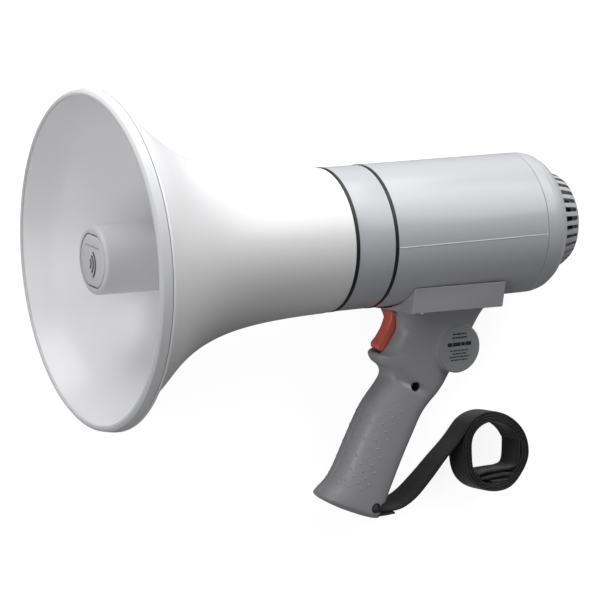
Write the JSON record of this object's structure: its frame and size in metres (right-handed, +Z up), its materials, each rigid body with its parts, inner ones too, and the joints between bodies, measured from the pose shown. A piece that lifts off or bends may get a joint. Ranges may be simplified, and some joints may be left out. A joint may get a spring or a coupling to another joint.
{
  "type": "handheld megaphone",
  "caption": "Pistol-grip battery megaphone with a re-entrant horn, talk trigger, rear microphone cap, volume knob and a rolled wrist strap.",
  "frame": {"origin": "centre of the bounding box on the table, with the megaphone lying on its right side on the bell flange, the rear cover and the heel of the grip", "axes": "+X along the horn axis seen from above, from the bell towards the microphone; +Z up from the table; the handle points towards -Y"},
  "size_m": [0.3628, 0.2878, 0.2086],
  "materials": {
    "bell_white": "satin white moulded ABS",
    "badge_grey": "grey moulded plate",
    "throat_white": "white moulded ABS",
    "body_grey": "light grey moulded ABS with a faint grain",
    "cover_grey": "light grey moulded ABS with a faint grain",
    "cap_grey": "light grey moulded ABS",
    "handle_grey": "mid grey moulded ABS",
    "label_grey": "grey printed plate",
    "trigger_red": "red moulded plastic",
    "seal_black": "black rubber",
    "strap_black": "black woven webbing",
    "steel": "zinc-plated steel",
    "spring_steel": "bright spring steel",
    "ferrite": "dark ferrite",
    "phenolic": "brown phenolic film",
    "copper": "copper winding",
    "board_green": "green glass-epoxy board",
    "transformer_core": "laminated core with tape",
    "black_plastic": "black moulded plastic",
    "capacitor_blue": "blue sleeve",
    "holder_black": "black moulded plastic",
    "cell_label": "plain printed cell jacket",
    "contact_plate": "plated brass",
    "screen_cloth": "black acoustic cloth",
    "capsule_metal": "aluminium can",
    "cushion_rubber": "black soft rubber",
    "lead_grey": "dark PVC",
    "bush_brass": "turned brass"
  },
  "bodies": {
    "housing": {"horn_bell": "bell_white", "return_cup": "bell_white", "bell_rim_ring": "bell_white", "center_reflector": "bell_white", "emblem_badge": "badge_grey", "throat_tube": "throat_white", "driver_front_plate": "steel", "surround": "phenolic", "driver_magnet": "ferrite", "driver_yoke": "steel", "driver_screws": "steel", "front_seal_ring": "seal_black", "collar_ring": "body_grey", "rear_seal_ring": "seal_black", "body_upper_shell": "body_grey", "body_lower_shell": "body_grey", "amplifier_board": "board_green", "output_transformer": "transformer_core", "power_transistors": "black_plastic", "board_capacitors": "capacitor_blue", "volume_pot": "capsule_metal", "battery_holder": "holder_black", "battery_cells": "cell_label", "battery_contacts": "contact_plate", "handle_left_shell": "handle_grey", "handle_right_shell": "handle_grey", "label_disc": "label_grey", "saddle_screws": "steel", "handle_screws": "steel", "strap_screw": "steel", "strap_bush": "bush_brass", "trigger_pin": "steel", "trigger_spring": "spring_steel", "talk_switch": "black_plastic", "switch_lead": "lead_grey", "driver_lead": "lead_grey", "strap": "strap_black"},
    "trigger": {"trigger": "trigger_red"},
    "talk_plunger": {"switch_plunger": "black_plastic"},
    "volume": {"volume_knob": "black_plastic"},
    "rear_cover": {"rear_cover": "cover_grey", "cover_contact_plate": "board_green", "battery_springs": "spring_steel", "microphone_cap": "cap_grey", "microphone_screen": "screen_cloth", "microphone_capsule": "capsule_metal", "microphone_cushion": "cushion_rubber"},
    "diaphragm": {"diaphragm": "phenolic", "voice_coil": "copper"}
  },
  "joints": [
    {"name": "trigger_pull", "type": "hinge", "parent": "housing", "child": "trigger", "pos_m": [0.04742, -0.01126, 0.0498], "axis": [0.1832, -0.2928, 0.9385], "range_deg": [0, 8], "stiffness_Nm_per_rad": 0.06, "springref_deg": -20.05, "deforming": ["trigger_spring"]},
    {"name": "plunger_press", "type": "slide", "parent": "housing", "child": "talk_plunger", "axis": [0.9815, 0, -0.1916], "range_m": [0, 0.0021]},
    {"name": "volume_turn", "type": "hinge", "parent": "housing", "child": "volume", "pos_m": [0.03724, 0.06935, 0.03154], "axis": [-0.1423, 0.6694, -0.7291], "range_deg": [0, 280]},
    {"name": "rear_cover_pull", "type": "slide", "parent": "housing", "child": "rear_cover", "axis": [0.9815, 0, -0.1916], "range_m": [0, 0.04]},
    {"name": "diaphragm_travel", "type": "slide", "parent": "housing", "child": "diaphragm", "axis": [0.9815, 0, -0.1916], "range_m": [-0.0003, 0.0003], "stiffness_N_per_m": 400}
  ],
  "couplings": [
    {"joint": "plunger_press", "follows": "trigger_pull", "m_per_rad": 0.0146}
  ]
}
